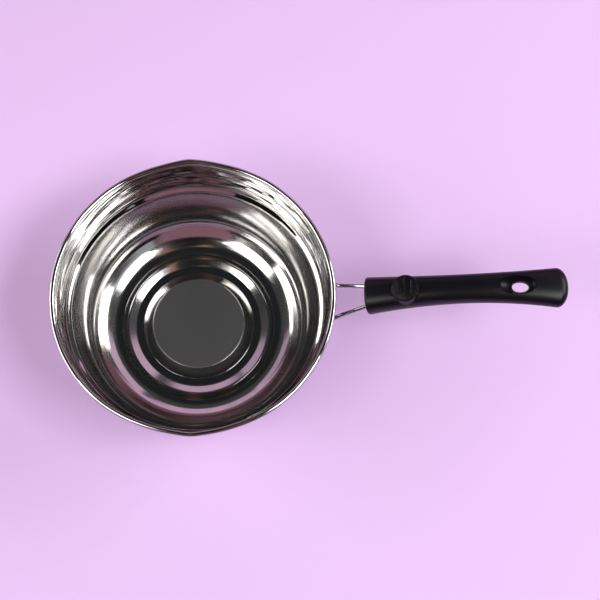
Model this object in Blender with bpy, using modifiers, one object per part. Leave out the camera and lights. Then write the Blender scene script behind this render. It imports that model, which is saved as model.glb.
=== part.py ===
"""Candle melting pot: a drawn steel bowl with two pouring lips, a bent wire bracket and a moulded grip.

Run with: blender --background --python part.py
Units are metres and +Z is up. The grip points along +X, and the pot stands on z = 0.
"""

import math

import bmesh
import bpy
from mathutils import Matrix, Vector

COLLECTION = "candle_melting_pot"
CUTTERS = "cutters"

# Bowl, measured from its own axis
RIM_RADIUS = 0.0820
RIM_HEIGHT = 0.0704
BEAD_RADIUS = 0.0016
SHEET = 0.0007
CURL_START = math.radians(-105)
CURL_END = math.radians(174)
BAND_FOOT = (0.0761, 0.0444)
BELLY_RADIUS = 0.0733
BELLY_SHOULDER = 0.0422
BELLY_TOP = 0.0410
BELLY_FOOT = (0.0622, 0.0064)
BELLY_MIDDLE = 0.0580
BELLY_DEPTH = 0.0360
CONE_TOP = (0.0575, 0.0032)
RING_OUTER = 0.0515
RING_INNER = 0.0474
CREST = (0.0442, 0.0037)
GROOVE_OUTER = (0.0388, 0.0016)
GROOVE_INNER = (0.0342, 0.0014)
PLATEAU = (0.0283, 0.0066)
BOWL_STEPS = 60

# Pouring lips: a crease pressed outwards, which flattens the rim beside it
LIP_ANGLES = (math.radians(90), math.radians(-90))
LIP_TURNS = (math.radians(3), 0.0)
LIP_SPREAD = math.radians(38)
LIP_OUT = 0.0010
LIP_RISE = 0.0006
LIP_FLATTEN = 4.5

# Grip, along a spine that climbs from the pot and levels out
GRIP_FRONT = 0.1005
GRIP_END = 0.2125
GRIP_DOME = 0.0065
SPINE_START = 0.0670
SPINE_SLOPE = 0.394
SPINE_BEND = 2.14
WAIST_AT = 0.1530
WAIST_HALF_WIDTH = 0.0083
FRONT_FLARE = 0.0026
END_FLARE = 0.0032
END_HALF_HEIGHT = 0.0062
FRONT_SWELL = 0.0024
SECTION_POWER = 2.3
SECTION_POINTS = 32
FRONT_EDGE = 0.0010

# Screw stack, along an axis square to the spine; heights are above the spine
STACK_AT = 0.1225
COLLAR_RADIUS = 0.0079
COLLAR_FLARE = 0.0006
COLLAR_WAIST = 0.0035
COLLAR_TOP = 0.0089
COLLAR_EDGE = 0.0004
SOCKET_RADIUS = 0.0054
SOCKET_FLOOR = 0.0064
NUT_FLOOR = 0.0029
NUT_HEIGHT = 0.0032
NUT_ACROSS_CORNERS = 0.0081
SCREW_RADIUS = 0.0020
SCREW_HOLE_RADIUS = 0.0024
SCREW_HEAD_RADIUS = 0.0040
SCREW_HEAD_HEIGHT = 0.0024
SCREW_HEAD_EDGE = 0.0012
SCREW_TIP_CHAMFER = 0.0005
CROSS_RECESS = (0.0042, 0.0008, 0.0024)
WASHER_RADIUS = 0.0043
WASHER_THICKNESS = 0.0008
COUNTERBORE_RADIUS = 0.0048
COUNTERBORE_ROOF = -0.0036
GAP = 0.0003
BEYOND = 0.02
POCKET_OVERLAP = 0.0005

# Cap with three thumb grooves
CAP_RADIUS = 0.0071
CAP_EDGE = 0.0010
CAP_CROWN = 0.0009
CAP_CHAMFER = 0.0003
CAP_DOME_SHARE = 0.94
STEM_RADIUS = 0.0050
GROOVE_RADIUS = 0.0008
GROOVE_PITCH = 0.0042

# Wire bracket
WIRE_RADIUS = 0.0013
WIRE_BEND = 0.0040
LEG_SPREAD_AT_GRIP = 0.0058
LEG_SPREAD_AT_POT = 0.0094
LEG_POT_POINT = (0.0835, 0.0567)
LEG_START_SHARE = 0.1
FOOT_ANGLE = math.radians(8)
FOOT_TOP = 0.0543
FOOT_BOTTOM = 0.0478
LOOP_HEIGHT = -0.0006
SLOT_CLEARANCE = 0.0004

# Hanging hole: (height above the spine, half-length, half-width, shift along the grip)
HANG_HOLE_AT = 0.1828
HANG_HOLE_RINGS = (
    (0.0090, 0.0123, 0.0072, 0.0),
    (0.0054, 0.0103, 0.0055, 0.0004),
    (0.0035, 0.0075, 0.0042, 0.0014),
    (0.0002, 0.0047, 0.0029, 0.0025),
    (-0.0030, 0.0060, 0.0036, 0.0025),
    (-0.0052, 0.0082, 0.0048, 0.0022),
    (-0.0090, 0.0105, 0.0066, 0.0020),
)

# The overall length's middle is x = 0, so the pot's axis stands to one side of it
POT_X = -(GRIP_END - RIM_RADIUS) / 2

STEEL = ((0.62, 0.61, 0.60), 0.08, 1.0)
ZINC_STEEL = ((0.55, 0.56, 0.58), 0.30, 1.0)
BLACK_RESIN = ((0.018, 0.017, 0.020), 0.42, 0.0)
BLACK_CAP = ((0.014, 0.013, 0.016), 0.36, 0.0)


# ---------------------------------------------------------------- scene and materials


def clear_scene():
    """Remove what the startup file holds."""
    for obj in list(bpy.data.objects):
        bpy.data.objects.remove(obj, do_unlink=True)


def new_collection(name):
    """Make a collection in the scene."""
    made = bpy.data.collections.new(name)
    bpy.context.scene.collection.children.link(made)
    return made


def new_material(name, finish):
    """Make a plain Principled material from (colour, roughness, metallic)."""
    colour, roughness, metallic = finish
    made = bpy.data.materials.new(name)
    made.use_nodes = True
    shader = made.node_tree.nodes["Principled BSDF"]
    shader.inputs["Base Color"].default_value = (*colour, 1.0)
    shader.inputs["Roughness"].default_value = roughness
    shader.inputs["Metallic"].default_value = metallic
    return made


def new_empty(name, parent, matrix):
    """Make an empty that other objects hang from."""
    empty = bpy.data.objects.new(name, None)
    empty.empty_display_size = 0.01
    bpy.data.collections[COLLECTION].objects.link(empty)
    empty.parent = parent
    empty.matrix_basis = matrix
    return empty


def new_object(name, data, parent, material=None):
    """Make an object of the model, or a cutter where it has no material."""
    obj = bpy.data.objects.new(name, data)
    if material:
        bpy.data.collections[COLLECTION].objects.link(obj)
        data.materials.append(material)
    else:
        bpy.data.collections[CUTTERS].objects.link(obj)
        obj.hide_render = True
        obj.display_type = "WIRE"
    obj.parent = parent
    return obj


def evaluated_mesh(obj):
    """The object's mesh with its modifiers applied, in its own space."""
    bpy.context.view_layer.update()
    graph = bpy.context.evaluated_depsgraph_get()
    return bpy.data.meshes.new_from_object(obj.evaluated_get(graph))


def smooth(mesh, angle=40):
    """Shade a mesh smooth up to an angle in degrees."""
    mesh.shade_smooth()
    mesh.set_sharp_from_angle(angle=math.radians(angle))


def boolean(target, other, operation="DIFFERENCE"):
    """Cut the other object out of the target, or join it on."""
    modifier = target.modifiers.new(f"{operation.lower()}_{other.name}", "BOOLEAN")
    modifier.operation = operation
    modifier.solver = "EXACT"
    modifier.object = other


# ---------------------------------------------------------------- outlines


def arc(centre, radius, start, end, steps):
    """Points on an arc about centre, from the start angle to the end angle."""
    turns = [start + (end - start) * k / steps for k in range(steps + 1)]
    return [(centre[0] + radius * math.cos(t), centre[1] + radius * math.sin(t)) for t in turns]


def rounded(corners, steps=2):
    """A path through (x, y, radius) corners, in which each corner with a radius becomes an arc."""
    path = [corners[0][:2]]
    for before, corner, after in zip(corners, corners[1:], corners[2:]):
        here = Vector(corner[:2])
        towards = (Vector(before[:2]) - here).normalized()
        away = (Vector(after[:2]) - here).normalized()
        half = towards.angle(away) / 2
        if corner[2] == 0:
            path.append(tuple(here))
            continue
        centre = here + (towards + away).normalized() * corner[2] / math.sin(half)
        first = here + towards * corner[2] / math.tan(half) - centre
        last = here + away * corner[2] / math.tan(half) - centre
        for k in range(steps + 1):
            spoke = first.slerp(last, k / steps).normalized() * corner[2]
            path.append(tuple(centre + spoke))
    path.append(corners[-1][:2])
    return path


def turned(name, profile, parent, material=None, steps=32, closed=False):
    """Turn a profile of (radius, height) points about the object's Z axis."""
    mesh = bpy.data.meshes.new(name)
    edges = [(k, k + 1) for k in range(len(profile) - 1)]
    if closed:
        edges.append((len(profile) - 1, 0))
    mesh.from_pydata([(r, 0.0, z) for r, z in profile], edges, [])
    obj = new_object(name, mesh, parent, material)
    screw = obj.modifiers.new("turn", "SCREW")
    screw.axis = "Z"
    screw.steps = steps
    screw.render_steps = steps
    screw.use_merge_vertices = True
    screw.merge_threshold = 0.00001
    screw.use_smooth_shade = True
    return obj


def loft(name, rings, parent, material=None):
    """Join rings of equal point count, one after another, and close both ends."""
    shape = bmesh.new()
    loops = [[shape.verts.new(point) for point in ring] for ring in rings]
    count = len(loops[0])
    for ring, following in zip(loops, loops[1:]):
        for k in range(count):
            after = (k + 1) % count
            shape.faces.new((ring[k], ring[after], following[after], following[k]))
    shape.faces.new(loops[0])
    shape.faces.new(loops[-1])
    bmesh.ops.recalc_face_normals(shape, faces=shape.faces)
    mesh = bpy.data.meshes.new(name)
    shape.to_mesh(mesh)
    shape.free()
    smooth(mesh)
    return new_object(name, mesh, parent, material)


# ---------------------------------------------------------------- bowl


def bowl_profile():
    """The bowl's inner skin, from the curl's free edge over the rim and down to the axis."""
    rim = (RIM_RADIUS - BEAD_RADIUS, RIM_HEIGHT)
    curl = arc(rim, BEAD_RADIUS, CURL_START, CURL_END, 9)
    band = rounded(
        [
            (*curl[-1], 0),
            (*BAND_FOOT, 0.0015),
            (BELLY_RADIUS, BELLY_SHOULDER, 0.0018),
            (BELLY_RADIUS, BELLY_TOP, 0),
        ]
    )
    reach = BELLY_RADIUS - BELLY_MIDDLE
    foot_turn = math.asin((BELLY_FOOT[0] - BELLY_MIDDLE) / reach)
    turns = [math.pi / 2 + (foot_turn - math.pi / 2) * k / 8 for k in range(1, 8)]
    belly = [(BELLY_MIDDLE + reach * math.sin(t), BELLY_TOP - BELLY_DEPTH * math.cos(t)) for t in turns]
    bottom = rounded(
        [
            (*belly[-1], 0),
            (*BELLY_FOOT, 0.0060),
            (*CONE_TOP, 0.0060),
            (RING_OUTER, SHEET, 0.0030),
            (RING_INNER, SHEET, 0.0012),
            (*CREST, 0.0012),
            (*GROOVE_OUTER, 0.0030),
            (*GROOVE_INNER, 0.0008),
            (*PLATEAU, 0.0008),
            (0.0, PLATEAU[1], 0),
        ]
    )
    return curl + band[1:] + belly + bottom[1:]


def lip_shape(offset):
    """How far out a lip presses the rim, from 1 at its crease, at this share of its spread."""
    return (1 - offset) ** 2 * (1 - LIP_FLATTEN * offset)


def press_lips(mesh):
    """Push the bowl's upper band out into two creased pouring lips."""
    for vertex in mesh.vertices:
        x, y, z = vertex.co
        depth = max(0.0, (z - BAND_FOOT[1]) / (RIM_HEIGHT - BAND_FOOT[1]))
        angle = math.atan2(y, x)
        for lip, turn in zip(LIP_ANGLES, LIP_TURNS):
            offset = abs(math.remainder(angle - lip, math.tau)) / LIP_SPREAD
            if offset < 1:
                press = depth**1.3 * lip_shape(offset)
                radius = math.hypot(x, y) + LIP_OUT * press
                turned_to = angle + turn * (1 - offset) * min(1.0, depth)
                lifted = z + LIP_RISE * depth * (1 - offset) ** 2
                vertex.co = (radius * math.cos(turned_to), radius * math.sin(turned_to), lifted)


def make_bowl(parent, material):
    """The drawn bowl: its inner skin is turned, pressed into lips and given the sheet's thickness."""
    guide = turned("bowl_profile", bowl_profile(), None, None, BOWL_STEPS)
    mesh = evaluated_mesh(guide)
    bpy.data.objects.remove(guide)
    press_lips(mesh)
    smooth(mesh, 30)
    bowl = new_object("pot_bowl", mesh, parent, material)
    solid = bowl.modifiers.new("sheet", "SOLIDIFY")
    solid.thickness = SHEET
    solid.offset = 1.0
    solid.use_even_offset = True
    return bowl


# ---------------------------------------------------------------- grip


def spine_height(at):
    """The spine's height at a distance from the pot's axis."""
    run = at - GRIP_FRONT
    return SPINE_START + SPINE_SLOPE * run - SPINE_BEND * run * run


def spine_frame(at):
    """A frame on the spine: X along it towards the end, Z square to it and up."""
    slope = math.atan(SPINE_SLOPE - 2 * SPINE_BEND * (at - GRIP_FRONT))
    return Matrix.Translation((at, 0.0, spine_height(at))) @ Matrix.Rotation(-slope, 4, "Y")


def half_width(at):
    """The grip is narrowest at its waist and flares to both ends."""
    if at < WAIST_AT:
        return WAIST_HALF_WIDTH + FRONT_FLARE * ((WAIST_AT - at) / (WAIST_AT - GRIP_FRONT)) ** 2
    dome_start = GRIP_END - GRIP_DOME
    return WAIST_HALF_WIDTH + END_FLARE * ((at - WAIST_AT) / (dome_start - WAIST_AT)) ** 1.9


def half_height(at):
    """The grip thins out from its front to its end."""
    dome_start = GRIP_END - GRIP_DOME
    left = max(0.0, (dome_start - at) / (dome_start - GRIP_FRONT))
    return END_HALF_HEIGHT + FRONT_SWELL * left**1.5


def section(at, wide, high, points=SECTION_POINTS):
    """A rounded-square section of the grip, square to the spine."""
    frame = spine_frame(at)
    ring = []
    for k in range(points):
        turn = math.tau * k / points
        y = math.copysign(abs(math.cos(turn)) ** (2 / SECTION_POWER), math.cos(turn)) * wide
        z = math.copysign(abs(math.sin(turn)) ** (2 / SECTION_POWER), math.sin(turn)) * high
        ring.append(frame @ Vector((0.0, y, z)))
    return ring


def grip_rings():
    """The grip's sections: a rounded front edge, the body, and a domed end."""
    rings = []
    for k in range(3):
        turn = math.pi / 2 * k / 2
        inset = FRONT_EDGE * (1 - math.sin(turn))
        at = GRIP_FRONT + FRONT_EDGE * (1 - math.cos(turn))
        rings.append(section(at, half_width(at) - inset, half_height(at) - inset))
    dome_start = GRIP_END - GRIP_DOME
    body_steps = 17
    for k in range(1, body_steps + 1):
        at = GRIP_FRONT + FRONT_EDGE + (dome_start - GRIP_FRONT - FRONT_EDGE) * k / body_steps
        rings.append(section(at, half_width(at), half_height(at)))
    for share in (0.23, 0.46, 0.66, 0.82, 0.93, 0.985):
        at = dome_start + GRIP_DOME * share
        wide = half_width(dome_start) * math.sqrt(1 - share**2)
        high = half_height(dome_start) * math.sqrt(1 - share**3)
        rings.append(section(at, wide, high))
    return rings


def hang_hole_rings():
    """Ellipses of the hanging hole, which narrows to a neck between two funnels."""
    frame = spine_frame(HANG_HOLE_AT)
    rings = []
    for height, half_length, half_wide, shift in HANG_HOLE_RINGS:
        turns = [math.tau * k / 24 for k in range(24)]
        ring = [(shift + half_length * math.cos(t), half_wide * math.sin(t), height) for t in turns]
        rings.append([frame @ Vector(point) for point in ring])
    return rings


def stack_point(height):
    """A point on the screw stack's axis, at a height above the spine."""
    return spine_frame(STACK_AT) @ Vector((0.0, 0.0, height))


def loop_frame():
    """The frame of the slot in the grip: origin at the loop's centre, X towards the grip's front."""
    centre = stack_point(LOOP_HEIGHT)
    front = Vector((GRIP_FRONT, 0.0, SPINE_START))
    forward = (front - centre).normalized()
    up = Vector((0.0, 1.0, 0.0)).cross(forward)
    turn = Matrix((forward, (0.0, 1.0, 0.0), -up)).transposed().to_4x4()
    return Matrix.Translation(centre) @ turn, (front - centre).length


def slot_cutter(parent):
    """A flat slot, open at the grip's front, with a round end for the loop of the wire."""
    frame, length = loop_frame()
    half = LEG_SPREAD_AT_GRIP + WIRE_RADIUS + SLOT_CLEARANCE
    outline = arc((0.0, 0.0), half, math.pi / 2, 3 * math.pi / 2, 12)
    outline += [(length + 0.01, -half), (length + 0.01, half)]
    curve = outline_curve("slot", [outline], WIRE_RADIUS + SLOT_CLEARANCE)
    return curve_to_mesh(curve, "cut_slot", parent, None, frame)


def collar_profile():
    """The collar under the cap, a little wider at its foot."""
    foot = COLLAR_RADIUS + COLLAR_FLARE
    profile = [(0.0, COLLAR_TOP), (COLLAR_RADIUS - COLLAR_EDGE, COLLAR_TOP)]
    profile += [(COLLAR_RADIUS, COLLAR_TOP - COLLAR_EDGE), (foot, COLLAR_WAIST), (foot, 0.0), (0.0, 0.0)]
    return profile


def bore_profile():
    """The cap's socket, the screw's hole and the counterbore below, as one cutter."""
    profile = [(0.0, BEYOND), (SOCKET_RADIUS, BEYOND), (SOCKET_RADIUS, SOCKET_FLOOR)]
    profile += [(SCREW_HOLE_RADIUS, SOCKET_FLOOR), (SCREW_HOLE_RADIUS, COUNTERBORE_ROOF)]
    profile += [(COUNTERBORE_RADIUS, COUNTERBORE_ROOF), (COUNTERBORE_RADIUS, -BEYOND), (0.0, -BEYOND)]
    return profile


def make_grip(parent, stack, material):
    """The grip, with its collar, screw stack, wire slot and hanging hole."""
    grip = loft("handle_grip", grip_rings(), parent, material)
    boolean(grip, turned("join_collar", collar_profile(), stack), "UNION")
    boolean(grip, turned("cut_bore", bore_profile(), stack, steps=24))
    pocket_radius = NUT_ACROSS_CORNERS / 2 + GAP
    pocket_top = SOCKET_FLOOR + POCKET_OVERLAP
    boolean(grip, hexagon("cut_nut_pocket", pocket_radius, NUT_FLOOR - GAP, pocket_top, stack))
    boolean(grip, slot_cutter(parent))
    boolean(grip, loft("cut_hang_hole", hang_hole_rings(), parent))
    weld = grip.modifiers.new("weld", "WELD")
    weld.merge_threshold = 0.00001
    return grip


# ---------------------------------------------------------------- screw stack and cap


def rod_cutter(name, radius, length, sides, place, parent):
    """A straight cutter with this many sides, along the Z axis of its place."""
    shape = bmesh.new()
    size = {"radius1": radius, "radius2": radius, "depth": length}
    bmesh.ops.create_cone(shape, cap_ends=True, segments=sides, matrix=place, **size)
    mesh = bpy.data.meshes.new(name)
    shape.to_mesh(mesh)
    shape.free()
    return new_object(name, mesh, parent)


def hexagon(name, radius, bottom, top, parent):
    """A hexagonal cutter between two heights, with two of its corners along the grip."""
    place = Matrix.Translation((0.0, 0.0, (bottom + top) / 2)) @ Matrix.Rotation(math.pi / 6, 4, "Z")
    return rod_cutter(name, radius, top - bottom, 6, place, parent)


def make_nut(stack, material):
    """A plain hexagon nut, drawn as a flat outline with a round hole."""
    corners = arc((0.0, 0.0), NUT_ACROSS_CORNERS / 2, 0.0, math.tau, 6)[:-1]
    hole = arc((0.0, 0.0), SCREW_HOLE_RADIUS, 0.0, math.tau, 24)[:-1]
    curve = outline_curve("nut", [corners, hole], NUT_HEIGHT / 2)
    place = Matrix.Translation((0.0, 0.0, NUT_FLOOR + NUT_HEIGHT / 2))
    return curve_to_mesh(curve, "clamp_nut", stack, material, place)


def make_washer(stack, material):
    """A flat washer above the screw's head."""
    top = COUNTERBORE_ROOF - GAP
    bottom = top - WASHER_THICKNESS
    ring = [(SCREW_HOLE_RADIUS, top), (WASHER_RADIUS, top), (WASHER_RADIUS, bottom)]
    ring.append((SCREW_HOLE_RADIUS, bottom))
    washer = turned("clamp_washer", ring, stack, material, closed=True)
    washer.modifiers["turn"].use_smooth_shade = False
    return washer


def make_screw(stack, material):
    """A pan-head screw from below, with a cross recess in its head."""
    seat = COUNTERBORE_ROOF - WASHER_THICKNESS - 2 * GAP
    face = seat - SCREW_HEAD_HEIGHT
    tip = SOCKET_FLOOR - GAP
    outline = [(SCREW_HEAD_RADIUS, seat, 0), (SCREW_HEAD_RADIUS, face, SCREW_HEAD_EDGE), (0.0, face, 0)]
    head = rounded(outline, steps=4)
    shank = [(0.0, tip), (SCREW_RADIUS - SCREW_TIP_CHAMFER, tip)]
    shank += [(SCREW_RADIUS, tip - SCREW_TIP_CHAMFER), (SCREW_RADIUS, seat)]
    screw = turned("clamp_screw", shank + head, stack, material)
    for name, turn in (("cut_cross_a", 0.0), ("cut_cross_b", math.pi / 2)):
        shape = bmesh.new()
        place = Matrix.Translation((0.0, 0.0, face)) @ Matrix.Rotation(turn, 4, "Z")
        bmesh.ops.create_cube(shape, size=1.0, matrix=place @ Matrix.Diagonal((*CROSS_RECESS, 1.0)))
        mesh = bpy.data.meshes.new(name)
        shape.to_mesh(mesh)
        shape.free()
        boolean(screw, new_object(name, mesh, stack))
    return screw


def make_cap(stack, material):
    """The thumb button: a domed cap with three grooves across it, on a stem that fills the socket."""
    under = COLLAR_TOP + GAP
    rim = under + CAP_EDGE
    sphere = (CAP_RADIUS**2 + CAP_CROWN**2) / (2 * CAP_CROWN)
    lean = math.asin(CAP_RADIUS * CAP_DOME_SHARE / sphere)
    crown = rim + CAP_CROWN
    turns = [lean * k / 5 for k in range(6)]
    dome = [(sphere * math.sin(t), crown - sphere * (1 - math.cos(t))) for t in turns]
    stem_foot = SOCKET_FLOOR + GAP
    side = [(CAP_RADIUS, rim - CAP_CHAMFER), (CAP_RADIUS, under)]
    side += [(STEM_RADIUS, under), (STEM_RADIUS, stem_foot), (0.0, stem_foot)]
    cap = turned("thumb_button", dome + side, stack, material, steps=40)
    for k in (-1, 0, 1):
        place = Matrix.Translation((k * GROOVE_PITCH, 0.0, crown)) @ Matrix.Rotation(math.pi / 2, 4, "X")
        boolean(cap, rod_cutter(f"cut_groove_{k + 2}", GROOVE_RADIUS, BEYOND, 16, place, stack))
    return cap


# ---------------------------------------------------------------- curves and wire


def outline_curve(name, outlines, half_thickness):
    """A flat filled outline, with any further outlines as its holes."""
    curve = bpy.data.curves.new(name, "CURVE")
    curve.dimensions = "2D"
    curve.fill_mode = "BOTH"
    curve.extrude = half_thickness
    for outline in outlines:
        spline = curve.splines.new("POLY")
        spline.points.add(len(outline) - 1)
        for point, (x, y) in zip(spline.points, outline):
            point.co = (x, y, 0.0, 1.0)
        spline.use_cyclic_u = True
    return curve


def curve_to_mesh(curve, name, parent, material, matrix=None):
    """Turn a curve into a closed mesh object."""
    guide = bpy.data.objects.new(f"{name}_guide", curve)
    bpy.context.scene.collection.objects.link(guide)
    mesh = evaluated_mesh(guide)
    bpy.data.objects.remove(guide)
    shape = bmesh.new()
    shape.from_mesh(mesh)
    bmesh.ops.remove_doubles(shape, verts=shape.verts, dist=0.00001)
    bmesh.ops.recalc_face_normals(shape, faces=shape.faces)
    shape.to_mesh(mesh)
    shape.free()
    smooth(mesh)
    mesh.name = name
    obj = new_object(name, mesh, parent, material)
    if matrix:
        obj.matrix_basis = matrix
    return obj


def bent_path(corners, radius, steps=4):
    """A 3-D path through the corners, with an arc of this radius at each inner corner."""
    path = [corners[0]]
    for before, corner, after in zip(corners, corners[1:], corners[2:]):
        towards = (before - corner).normalized()
        away = (after - corner).normalized()
        half = towards.angle(away) / 2
        centre = corner + (towards + away).normalized() * radius / math.sin(half)
        first = corner + towards * radius / math.tan(half) - centre
        last = corner + away * radius / math.tan(half) - centre
        spokes = [first.slerp(last, k / steps).normalized() * radius for k in range(steps + 1)]
        path += [centre + spoke for spoke in spokes]
    path.append(corners[-1])
    return path


def wall_radius(height):
    """The outside of the band at this height."""
    share = (height - BAND_FOOT[1]) / (RIM_HEIGHT - BAND_FOOT[1])
    top = RIM_RADIUS - 2 * BEAD_RADIUS
    return BAND_FOOT[0] + (top - BAND_FOOT[0]) * share + SHEET


def foot_point(height):
    """A point of a foot of the wire, just clear of the wall."""
    out = wall_radius(height) + WIRE_RADIUS + GAP
    return Vector((out * math.cos(FOOT_ANGLE), out * math.sin(FOOT_ANGLE), height))


def make_bracket(parent, material):
    """One wire: down the wall at each foot, out to the grip, and round a loop inside it."""
    frame, length = loop_frame()
    loop = arc((0.0, 0.0), LEG_SPREAD_AT_GRIP, math.pi / 2, 3 * math.pi / 2, 12)
    loop = [frame @ Vector((x, y, 0.0)) for x, y in loop[:7]]
    mouth = frame @ Vector((length, LEG_SPREAD_AT_GRIP, 0.0))
    leg = Vector((LEG_POT_POINT[0], LEG_SPREAD_AT_POT, LEG_POT_POINT[1]))
    corners = [foot_point(FOOT_BOTTOM), foot_point(FOOT_TOP), mouth, loop[0]]
    corners.insert(2, leg + (mouth - leg) * LEG_START_SHARE)
    half = bent_path(corners, WIRE_BEND) + loop[1:]
    other = [Vector((point.x, -point.y, point.z)) for point in reversed(half[:-1])]
    curve = bpy.data.curves.new("wire", "CURVE")
    curve.dimensions = "3D"
    curve.bevel_depth = WIRE_RADIUS
    curve.bevel_resolution = 3
    curve.use_fill_caps = True
    spline = curve.splines.new("POLY")
    path = half + other
    spline.points.add(len(path) - 1)
    for point, place in zip(spline.points, path):
        point.co = (*place, 1.0)
    return curve_to_mesh(curve, "wire_bracket", parent, material)


def main():
    """Build the pot."""
    clear_scene()
    new_collection(COLLECTION)
    new_collection(CUTTERS)
    pot = new_empty("pot_axis", None, Matrix.Translation((POT_X, 0.0, 0.0)))
    stack = new_empty("stack_axis", pot, spine_frame(STACK_AT))
    steel = new_material("polished_steel", STEEL)
    fastener = new_material("plated_steel", ZINC_STEEL)
    resin = new_material("black_resin", BLACK_RESIN)
    make_bowl(pot, steel)
    make_bracket(pot, new_material("steel_wire", STEEL))
    make_grip(pot, stack, resin)
    make_cap(stack, new_material("black_cap", BLACK_CAP))
    make_screw(stack, fastener)
    make_washer(stack, fastener)
    make_nut(stack, fastener)


main()
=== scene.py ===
"""Looks of a candle melting pot: polished steel bowl, bent wire bracket and black moulded grip.

The pot stands on z = 0 with its grip along +X. Sizes are in metres. Pieces are modelled about the
pot's own upright axis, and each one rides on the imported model.
"""

import logging
import math
from collections.abc import Sequence
from dataclasses import dataclass
from enum import Enum

import bmesh
import bpy
from mathutils import Euler, Matrix, Vector


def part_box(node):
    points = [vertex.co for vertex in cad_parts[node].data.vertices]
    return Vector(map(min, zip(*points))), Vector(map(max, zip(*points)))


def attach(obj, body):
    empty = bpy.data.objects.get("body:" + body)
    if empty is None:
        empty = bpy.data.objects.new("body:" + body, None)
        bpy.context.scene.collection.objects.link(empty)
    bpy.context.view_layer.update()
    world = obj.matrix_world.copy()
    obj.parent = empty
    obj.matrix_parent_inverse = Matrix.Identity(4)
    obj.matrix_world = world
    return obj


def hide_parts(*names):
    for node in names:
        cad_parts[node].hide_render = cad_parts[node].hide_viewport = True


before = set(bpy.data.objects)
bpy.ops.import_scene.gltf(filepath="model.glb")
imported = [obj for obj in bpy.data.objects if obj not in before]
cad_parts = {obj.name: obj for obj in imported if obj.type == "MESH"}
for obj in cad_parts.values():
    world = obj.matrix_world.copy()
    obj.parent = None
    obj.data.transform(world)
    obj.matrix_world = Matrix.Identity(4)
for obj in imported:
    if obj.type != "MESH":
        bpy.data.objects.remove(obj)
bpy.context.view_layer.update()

BODY = "root"
LOG = logging.getLogger("melting_pot")

Point = tuple[float, float]
Corner = tuple[float, float, float]
Colour = tuple[float, float, float]
Triple = tuple[float, float, float]

METAL = {"Metallic": 1.0}


class Slot(Enum):
    """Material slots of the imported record."""

    STEEL = "polished_steel"
    WIRE = "steel_wire"
    RESIN = "black_resin"
    CAP = "black_cap"
    PLATED = "plated_steel"


class End(Enum):
    """How a skin of rings closes at one of its ends."""

    OPEN = "open"
    FLAT = "flat"
    POINT = "point"


class Cut(Enum):
    """What one solid does to another."""

    REMOVE = "DIFFERENCE"
    JOIN = "UNION"


# ---------------------------------------------------------------- shader graphs


class Socket:
    """A node's output. Arithmetic on it adds Math nodes to its graph."""

    def __init__(self, graph: "Graph", output: bpy.types.NodeSocket) -> None:
        """Keep the graph and the output."""
        self.graph = graph
        self.output = output

    def __add__(self, other: "Value") -> "Socket":
        """Sum."""
        return self.graph.math("ADD", self, other)

    def __sub__(self, other: "Value") -> "Socket":
        """Difference."""
        return self.graph.math("SUBTRACT", self, other)

    def __rsub__(self, other: "Value") -> "Socket":
        """Difference, with the number first."""
        return self.graph.math("SUBTRACT", other, self)

    def __mul__(self, other: "Value") -> "Socket":
        """Product."""
        return self.graph.math("MULTIPLY", self, other)

    def __pow__(self, other: "Value") -> "Socket":
        """Power."""
        return self.graph.math("POWER", self, other)

    __radd__ = __add__
    __rmul__ = __mul__


Value = Socket | float


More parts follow.
